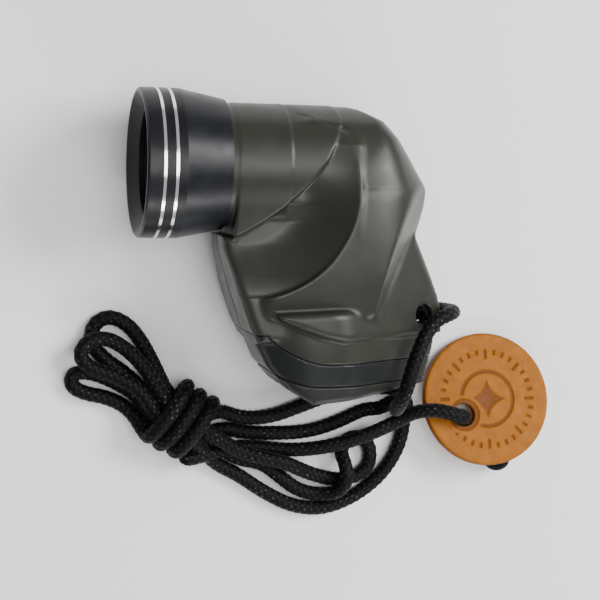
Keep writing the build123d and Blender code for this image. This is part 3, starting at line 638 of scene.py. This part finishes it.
def outer_field(x, y, z):
    """The whole body's outside, with the lanyard hole through its ear."""
    scoop = (np.abs(z) - scoop_floor(x, y)) * SCOOP_SCALE
    chin = smooth_max(polygon_field(x, y, CHIN_OUTLINE), scoop, blend=3.0)
    neck = np.maximum(np.hypot(y, z) - TUBE_R, between(x, TUBE_FRONT, NECK_END))
    upper = flank_field(x, y, z)
    for part in (chin, cowl_field(x, y, z), neck):
        upper = smooth_min(upper, part, blend=0.8)
    body = smooth_min(upper, lower_field(x, y, z), blend=1.2)
    hole = LANYARD_HOLE_R - np.hypot(x - LANYARD_HOLE[0], y - LANYARD_HOLE[1])
    return smooth_max(body, hole, blend=0.8)


def seam_height(x, level, curve, start, reach):
    """A seam round the base: level at the back, rising round the nose."""
    return level + curve * np.clip(start - x, 0, reach) ** 2


def hollow_field(x, y, z):
    """The bore behind the eyepiece, the well down from the mirror and the capsule's well."""
    bore_r = np.where(x < BORE_STEP_X, BARREL_BORE_R, INNER_BORE_R)
    bore = np.maximum(np.hypot(y, z) - bore_r, x - BORE_END_X)
    well_r = np.where(y > LIGHT_WELL_STEP_Y, UPPER_WELL_R, LOWER_WELL_R)
    well = np.maximum(np.hypot(x - MIRROR_X, z) - well_r, between(y, *LIGHT_WELL))
    cone = (np.hypot(x - CARD_X, z) - along_height(y, CAPSULE_WELL_R)) * 0.8
    cavity = np.maximum(cone, between(y, *CAPSULE_WELL))
    return np.minimum(np.minimum(bore, well), cavity)


def housing_field(half):
    """One half of the housing: half is 1 for the side that faces up, -1 for the table side."""

    def field(x, y, z):
        seam = seam_height(x, **BAND_SEAM)
        body = smooth_max(outer_field(x, y, z), seam + SEAM_GAP - y, EDGE_R)
        body = smooth_max(body, SEAM_GAP - half * z, EDGE_R)
        body = np.maximum(body, -hollow_field(x, y, z))
        if half < 0:
            for screw_x, screw_y in SCREW_SPOTS:
                round_wall = np.hypot(x - screw_x, y - screw_y) - SCREW_RECESS_R
                recess = np.maximum(round_wall, z - SCREW_RECESS_Z)
                body = smooth_max(body, -recess, blend=0.2)
        return body

    return field


def band_field(x, y, z):
    """The band between the housing and the base cap, a little inside both."""
    body = outer_field(x, y, z) + BAND_INSET
    sides = between(y, seam_height(x, **CAP_SEAM), seam_height(x, **BAND_SEAM)) + SEAM_GAP
    return np.maximum(smooth_max(body, sides, EDGE_R), BAND_BORE_R - np.hypot(x - CARD_X, z))


def cap_field(x, y, z):
    """The base cap, with a round pocket in its top."""
    body = smooth_max(outer_field(x, y, z), y - seam_height(x, **CAP_SEAM) + SEAM_GAP, EDGE_R)
    pocket = np.maximum(np.hypot(x - CARD_X, z) - CAP_POCKET_R, CAP_POCKET_FLOOR - y)
    return np.maximum(body, -pocket)


def holder_field(x, y, z):
    """The mirror's backing block, kept inside the rounded elbow."""
    block = np.maximum(np.hypot(y, z) - HOLDER_R, x - HOLDER_REAR_X)
    block = np.maximum(block, (MIRROR_X - x - y) / sqrt(2) + MIRROR_SETBACK)
    return smooth_max(block, outer_field(x, y, z) + HOLDER_INSET, blend=0.5)


GRID = 0.45
SKINS = {
    "housing_right": (housing_field(1), (-36, -56, -0.5), (45, 18, 21.5)),
    "housing_left": (housing_field(-1), (-36, -56, -21.5), (45, 18, 0.5)),
    "light_ring": (band_field, (-22, -62.5, -21.5), (45, -40, 21.5)),
    "mirror_holder": (holder_field, (0, -12, -15.5), (26, 16, 15.5)),
    "base_cap": (cap_field, (-22, -68, -21.5), (42, -48, 21.5)),
}
for node_name, (field, low, high) in SKINS.items():
    skin = field_mesh(node_name + "_skin", field, low, high, GRID)
    dress(skin, SLOT_MATERIALS[SLOT_OF[node_name]])
    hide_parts(node_name)
    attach(skin, "casing")

# ---------------------------------------------------------------- neck cord
# One braided cord. It starts in the lanyard hole, goes over the ear and down to the knot at the
# base, through the hank's three bights and round its waist, and ends in a knot under the tag.
CORD_D = 4.5
CORD_Z = 2.35
OVER_Z = 7.6
EAR_ROUTE = [
    (39.1, -19.55, 23.0), (39.1, -19.55, 12.2), (48.8, -19.5, 10.8), (50.4, -19.2, 21.2),
    (46.0, -18.8, 29.4), (39.5, -21.5, 30.8), (34.2, -31.5, 33.4), (31.4, -42.6, 33.0),
    (32.0, -48.6, 24.0), (36.5, -50.0, 10.5),
]
FIRST_KNOT_TURN = [(40.8, -48.6, 5.2), (39.4, -45.6, 2.6)]
UPPER_ROUTE = [
    (34.0, -45.2, CORD_Z), (28.0, -45.4, CORD_Z), (17.0, -47.4, CORD_Z), (7.5, -50.9, CORD_Z),
    (-1.0, -53.8, CORD_Z),
]
INNER_LOOP_ROUTE = [
    (2.2, -72.6, CORD_Z), (8.2, -77.2, CORD_Z), (15.0, -78.6, 3.0), (20.2, -77.6, 5.6),
    (22.5, -73.4, OVER_Z), (22.2, -68.8, 6.4), (21.2, -65.2, 3.4), (22.8, -61.8, CORD_Z),
    (26.6, -60.4, CORD_Z), (30.2, -62.2, CORD_Z), (31.4, -66.4, CORD_Z), (30.6, -70.4, CORD_Z),
    (27.2, -73.1, CORD_Z), (21.8, -74.3, CORD_Z), (14.8, -73.0, CORD_Z), (8.8, -70.4, 4.2),
    (3.4, -67.6, 6.4),
]
OUTER_LOOP_ROUTE = [
    (-11.0, -71.6, CORD_Z), (-3.0, -77.2, CORD_Z), (6.0, -82.0, CORD_Z), (15.5, -83.4, CORD_Z),
    (24.6, -80.6, CORD_Z), (32.6, -75.4, CORD_Z), (38.0, -69.2, CORD_Z), (41.3, -62.0, CORD_Z),
    (42.0, -55.2, CORD_Z),
]
SECOND_KNOT_TURN = [(42.2, -50.2, 4.6), (39.4, -47.4, 8.2), (35.6, -49.0, 7.6), (33.2, -51.6, 4.2)]
MIDDLE_ROUTE = [(28.5, -52.0, CORD_Z), (20.5, -55.8, CORD_Z), (11.5, -58.6, CORD_Z), (2.0, -59.0, CORD_Z)]
LOWER_ROUTE = [
    (-1.5, -63.6, CORD_Z), (5.5, -64.2, 3.4), (14.0, -63.2, 6.0), (23.5, -60.9, OVER_Z),
    (31.0, -58.2, OVER_Z), (37.5, -55.4, OVER_Z),
]
TAG_ROUTE = [
    (42.6, -51.6, 10.4), (50.0, -50.6, 13.4), (59.6, -53.9, 13.4), (59.6, -53.9, CORD_Z),
    (66.4, -61.2, CORD_Z), (71.4, -66.4, 3.2),
]

# The hank: the middle of its waist, the ways along and across it, and the turns round it.
WAIST = (-30.6, -53.6)
WAIST_ALONG = (0.85, -0.525)
WAIST_ACROSS = (0.525, 0.85)
WRAP_TURNS = 3
WRAP_PITCH = 4.7
WRAP_POINTS = 12
WRAP_HALF_WIDTH = 9.6
WRAP_HALF_HEIGHT = 5.7
WRAP_CENTRE_Z = 8.0
WRAP_START = -6.0
WRAP_SIDE_SHIFT = 0.8
WRAP_UNEVEN = 0.05
WAIST_HALF_LENGTH = 6.5


def waist_point(along, across, z):
    return (
        WAIST[0] + along * WAIST_ALONG[0] + across * WAIST_ACROSS[0],
        WAIST[1] + along * WAIST_ALONG[1] + across * WAIST_ACROSS[1],
        z,
    )


def through_waist(across, z, to_left):
    """The straight stretch of one strand under the wraps."""
    ends = [waist_point(WAIST_HALF_LENGTH, across, z), waist_point(-WAIST_HALF_LENGTH, across, z)]
    return ends if to_left else ends[::-1]


FIRST_BIGHT = [
    (-36.6, -39.4, 3.6), (-41.4, -30.0, CORD_Z), (-46.0, -24.6, CORD_Z), (-51.6, -22.4, CORD_Z),
    (-56.0, -25.2, CORD_Z), (-56.6, -30.6, CORD_Z), (-52.6, -35.4, CORD_Z), (-45.0, -40.4, CORD_Z),
]
SECOND_BIGHT = [
    (-40.4, -38.0, 7.4), (-46.4, -31.8, 6.0), (-52.6, -28.4, 5.6), (-58.2, -29.6, 6.0),
    (-60.4, -33.8, 6.6), (-57.4, -37.4, 6.9), (-50.0, -39.6, 7.0), (-42.0, -44.0, 8.0),
]
THIRD_BIGHT = [
    (-42.4, -46.2, 3.6), (-49.6, -42.0, CORD_Z), (-56.6, -39.2, CORD_Z), (-61.6, -39.4, CORD_Z),
    (-62.4, -43.2, CORD_Z), (-58.4, -45.6, CORD_Z), (-51.0, -47.0, CORD_Z), (-44.4, -50.6, 3.0),
]


def wraps():
    """The turns that tie the hank, from its left end to its right."""
    turns = []
    for step in range(WRAP_TURNS * WRAP_POINTS + 1):
        angle = pi - 2 * pi * step / WRAP_POINTS
        along = WRAP_START + WRAP_PITCH * step / WRAP_POINTS
        uneven = 1 + WRAP_UNEVEN * sin(2.3 * step)
        across = WRAP_HALF_WIDTH * cos(angle) * uneven + WRAP_SIDE_SHIFT
        turns.append(waist_point(along, across, WRAP_CENTRE_Z + WRAP_HALF_HEIGHT * sin(angle)))
    return turns


WHOLE_ROUTE = (
    EAR_ROUTE
    + FIRST_KNOT_TURN
    + UPPER_ROUTE
    + [(-10.0, -54.2, CORD_Z), (-18.0, -51.0, 3.6)]
    + through_waist(4.6, 5.9, True)
    + FIRST_BIGHT
    + through_waist(0.0, 5.9, False)
    + [(-20.5, -60.0, 3.6), (-12.0, -66.6, CORD_Z), (-3.5, -68.0, CORD_Z)]
    + INNER_LOOP_ROUTE
    + [(-4.5, -65.6, 6.9), (-12.5, -63.4, 6.9)]
    + through_waist(2.4, 9.7, True)
    + SECOND_BIGHT
    + through_waist(-2.4, 9.7, False)
    + [(-21.5, -64.6, 4.4), (-17.4, -68.4, CORD_Z)]
    + OUTER_LOOP_ROUTE
    + SECOND_KNOT_TURN
    + MIDDLE_ROUTE
    + [(-9.0, -58.6, CORD_Z), (-17.5, -56.4, 3.6)]
    + through_waist(-4.6, 5.9, True)
    + THIRD_BIGHT
    + wraps()
    + [(-17.5, -63.6, 3.6), (-10.0, -62.8, CORD_Z)]
    + LOWER_ROUTE
    + TAG_ROUTE
)


def spline_points(name, route):
    """Points along the smooth line of a route, in metres, read from its NURBS spline."""
    curve = bpy.data.curves.new(name, "CURVE")
    curve.dimensions = "3D"
    curve.resolution_u = 12
    spline = curve.splines.new("NURBS")
    spline.points.add(len(route) - 1)
    for point, place in zip(spline.points, route):
        point.co = (*(value * MM for value in place), 1)
    spline.order_u = 3
    spline.use_endpoint_u = True
    holder = bpy.data.objects.new(name, curve)
    bpy.context.scene.collection.objects.link(holder)
    bpy.context.view_layer.update()
    evaluated = holder.evaluated_get(bpy.context.evaluated_depsgraph_get())
    line = bpy.data.meshes.new_from_object(evaluated)
    points = np.array([vertex.co for vertex in line.vertices], float)
    bpy.data.objects.remove(holder)
    bpy.data.meshes.remove(line)
    return points


def evenly(points, step):
    """The same line with points a fixed step apart, and its length."""
    lengths = np.concatenate([[0], np.cumsum(np.linalg.norm(np.diff(points, axis=0), axis=1))])
    count = int(round(lengths[-1] / step))
    at = np.linspace(0, lengths[-1], count + 1)
    return np.stack([np.interp(at, lengths, points[:, n]) for n in range(3)], axis=1), lengths[-1]


def turned_frames(line):
    """Directions along and across a line, carried along it without twist."""
    along = np.gradient(line, axis=0)
    along /= np.linalg.norm(along, axis=1, keepdims=True)
    across = np.zeros_like(line)
    start = np.cross(along[0], (0.3, 0.5, 0.8))
    across[0] = start / np.linalg.norm(start)
    for n in range(1, len(line)):
        flat = across[n - 1] - along[n] * (across[n - 1] @ along[n])
        across[n] = flat / np.linalg.norm(flat)
    return along, across, np.cross(along, across)


BRAID_AROUND = 48
BRAID_STEP = 0.36
YARNS = 6
YARN_LAY = 13.0
YARN_POWER = 0.8
YARN_CROSSING = 0.45
YARN_GROOVE = 0.86
YARN_HEIGHT = 0.16
END_SHARES = (0.8, 0.4)
END_BULGE = 0.5


def braided_tube(name, line_m):
    """Round braid: two sets of yarns cross over and under each other as ridges on the tube."""
    line, total = evenly(line_m / MM, BRAID_STEP)
    along, across, other = turned_frames(line)
    travel = np.arange(len(line))[:, None] * total / (len(line) - 1)
    angle = 2 * pi * np.arange(BRAID_AROUND)[None, :] / BRAID_AROUND
    left = YARNS * angle + 2 * pi * YARNS * travel / YARN_LAY
    right = YARNS * angle - 2 * pi * YARNS * travel / YARN_LAY
    over = np.cos((left + right) / 2) * np.cos((left - right) / 2)
    ridge_left = np.abs(np.cos(left / 2))
    ridge_right = np.abs(np.cos(right / 2))
    crown = np.where(over > 0, ridge_left, ridge_right) ** YARN_POWER
    crown = crown * (1 - YARN_CROSSING + YARN_CROSSING * np.sqrt(np.abs(over)))
    radius = CORD_D / 2 * (YARN_GROOVE + YARN_HEIGHT * crown)
    ring = across[:, None, :] * np.cos(angle)[..., None] + other[:, None, :] * np.sin(angle)[..., None]
    points = line[:, None, :] + ring * radius[..., None]
    rows = np.arange(len(line) - 1)[:, None] * BRAID_AROUND
    here = np.arange(BRAID_AROUND)[None, :]
    after = (here + 1) % BRAID_AROUND
    following = rows + BRAID_AROUND
    faces = np.stack([rows + here, rows + after, following + after, following + here], axis=-1)
    all_points = [points.reshape(-1, 3)]
    all_faces = [faces.reshape(-1, 4)]
    base = crown.size
    for end, sign in ((0, -1), (len(line) - 1, 1)):
        previous = end * BRAID_AROUND + np.arange(BRAID_AROUND)
        for share in END_SHARES:
            bulge = END_BULGE * CORD_D / 2 * sqrt(1 - share**2)
            all_points.append(line[end] + (points[end] - line[end]) * share + sign * along[end] * bulge)
            current = base + np.arange(BRAID_AROUND)
            base += BRAID_AROUND
            ring_faces = np.stack(
                [previous, np.roll(previous, -1), np.roll(current, -1), current], axis=1
            )
            all_faces.append(ring_faces if sign > 0 else ring_faces[:, ::-1])
            previous = current
        all_points.append((line[end] + sign * along[end] * END_BULGE * CORD_D / 2)[None, :])
        centre = np.full(BRAID_AROUND, base)
        base += 1
        fan = np.stack([previous, np.roll(previous, -1), centre, centre], axis=1)
        all_faces.append(fan if sign > 0 else fan[:, ::-1])
    made = mesh_object(name, np.concatenate(all_points), np.concatenate(all_faces))
    values = np.zeros(base, np.float32)
    values[: crown.size] = crown.ravel()
    attribute = made.data.attributes.new("crown", "FLOAT", "POINT")
    attribute.data.foreach_set("value", values[: len(made.data.vertices)])
    return made, line, total


cord_line = spline_points("cord_route", WHOLE_ROUTE)
neck_cord, cord_path, cord_length = braided_tube("neck_cord", cord_line)
dress(neck_cord, SLOT_MATERIALS["cord_black"])
CORD_NODES = [node_name for node_name, slot in SLOT_OF.items() if slot == "cord_black"]
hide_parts(*[node for node in CORD_NODES if node != "cord_end_knot"])
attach(neck_cord, "casing")

# ---------------------------------------------------------------- leather tag
TAG_R = 20.8
TAG_T = 3.0
TAG_TILT = radians(14)
TAG_HOLE = (-7.8, -4.95)
TAG_HOLE_R = 3.5
TAG_EDGE_R = 1.1
TAG_HOLE_EDGE_R = 0.5
TAG_ORIGIN = np.array([67.4, -49.1, 0.3 + TAG_R * sin(TAG_TILT)])
TAG_AXES = np.array([(1, 0, 0), (0, cos(TAG_TILT), -sin(TAG_TILT)), (0, sin(TAG_TILT), cos(TAG_TILT))])
PRESS_DEPTH = 0.35
STAR_R = 6.4
STAR_POWER = 0.62
STAR_SCALE = 2.5
RING_R = 8.6
RING_HALF_WIDTH = 0.55
LONG_TICKS_IN = 12.6
SHORT_TICKS_IN = 14.0
TICKS_OUT = 15.6
TICK_COUNT = 32
TICK_HALF_WIDTH = 0.42
HOLE_RIM_R = 5.0
HOLE_RIM_CLEAR = 1.2
PRESS_SOFTNESS = 0.5
PRESS_SHADE = 0.75
CUT_EDGE_WIDTH = 0.5
CUT_EDGE_SHADE = 0.6


def from_hole(u, v):
    return np.hypot(u - TAG_HOLE[0], v - TAG_HOLE[1])


def press(u, v):
    """How deep the stamp goes: a compass star in a ring, a ring of ticks and the hole's pressed rim."""
    radius = np.hypot(u, v)
    points = (np.abs(u) / STAR_R) ** STAR_POWER + (np.abs(v) / STAR_R) ** STAR_POWER
    star = (points - 1) * STAR_SCALE
    ring = np.abs(radius - RING_R) - RING_HALF_WIDTH
    angle = np.arctan2(v, u) * TICK_COUNT / (2 * pi)
    off = np.abs(angle - np.round(angle)) * 2 * pi / TICK_COUNT * radius
    long_tick = np.round(angle) % 4 == 0
    inner = np.where(long_tick, LONG_TICKS_IN, SHORT_TICKS_IN)
    ticks = np.maximum(off - TICK_HALF_WIDTH, between(radius, inner, TICKS_OUT))
    rim = from_hole(u, v) - HOLE_RIM_R
    marks = np.maximum(np.minimum(np.minimum(star, ring), ticks), HOLE_RIM_CLEAR - rim)
    return np.clip(0.5 - np.minimum(marks, rim) / PRESS_SOFTNESS, 0, 1)


def tag_field(u, v, w):
    """A disc with rounded edges, a hole off its middle and the stamp in its top."""
    thickness = np.abs(w - TAG_T / 2) - TAG_T / 2
    disc = smooth_max(np.hypot(u, v) - TAG_R, thickness, TAG_EDGE_R)
    top = w - TAG_T + PRESS_DEPTH * press(u, v)
    return smooth_max(np.maximum(disc, top), TAG_HOLE_R - from_hole(u, v), TAG_HOLE_EDGE_R)


def on_tag(points):
    """From the tag's own coordinates to frame coordinates, tilted on the cord under it."""
    return TAG_ORIGIN + np.asarray(points) @ TAG_AXES


TAG_GRID = 0.26
tag = field_mesh("tag", tag_field, (-21.2, -21.2, -0.4), (21.2, 21.2, 3.4), TAG_GRID, on_tag)
vertices = np.array([vertex.co for vertex in tag.data.vertices]) / MM - TAG_ORIGIN
tag_u, tag_v, tag_w = (vertices @ TAG_AXES.T).T
pressed = tag.data.attributes.new("pressed", "FLOAT", "POINT")
near_edge = (np.hypot(tag_u, tag_v) - TAG_R + CUT_EDGE_WIDTH) / CUT_EDGE_WIDTH
edge_shade = np.clip(near_edge, 0, 1) * CUT_EDGE_SHADE
press_shade = np.where(tag_w > TAG_T / 2, press(tag_u, tag_v), 0) * PRESS_SHADE
shade = np.maximum(press_shade, edge_shade)
pressed.data.foreach_set("value", shade.astype(np.float32))
dress(tag, SLOT_MATERIALS["tag_leather"])
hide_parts("leather_tag")
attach(tag, "tag")

TURNED_EDGE = 0.12
for edged in ("focus_barrel", "trim_ring_front", "trim_ring_rear", "lens_retaining_ring"):
    soften(frame["nodes"][edged], TURNED_EDGE)

# ---------------------------------------------------------------- floor and light
FLOOR_HALF = 3
FLOOR_DROP = 0.00005
floor_mesh = bpy.data.meshes.new("floor")
floor_corners = [(-FLOOR_HALF, -FLOOR_HALF, 0), (FLOOR_HALF, -FLOOR_HALF, 0)]
floor_corners += [(FLOOR_HALF, FLOOR_HALF, 0), (-FLOOR_HALF, FLOOR_HALF, 0)]
floor_mesh.from_pydata(floor_corners, [], [(0, 1, 2, 3)])
floor = bpy.data.objects.new("floor", floor_mesh)
bpy.context.scene.collection.objects.link(floor)
floor.location.z = -FLOOR_DROP
floor_white, _, floor_shader = new_material("floor_white", (0.9, 0.9, 0.9), 0.9)
floor_shader.inputs["Specular IOR Level"].default_value = 0.0
dress(floor, floor_white)

world = bpy.data.worlds.new("world")
bpy.context.scene.world = world
world.use_nodes = True
background = world.node_tree.nodes["Background"]
background.inputs["Color"].default_value = (1, 1, 1, 1)
background.inputs["Strength"].default_value = 0.42


LIGHT_AIM = (0, -0.02, 0.02)


def area_light(name, place, size, power):
    """Rectangular light aimed at the compass, in metres and watts."""
    data = bpy.data.lights.new(name, "AREA")
    data.shape = "RECTANGLE"
    data.size, data.size_y = size
    data.energy = power
    light = bpy.data.objects.new(name, data)
    bpy.context.scene.collection.objects.link(light)
    light.location = Vector(place)
    light.rotation_euler = (Vector(LIGHT_AIM) - Vector(place)).to_track_quat("-Z", "Y").to_euler()


area_light("key", place=(0.55, 0.25, 0.60), size=(0.45, 0.35), power=8.5)
area_light("fill", place=(0.05, 0.05, 0.95), size=(0.5, 0.5), power=5)
area_light("rim", place=(0.25, -0.65, 0.35), size=(0.5, 0.2), power=3)
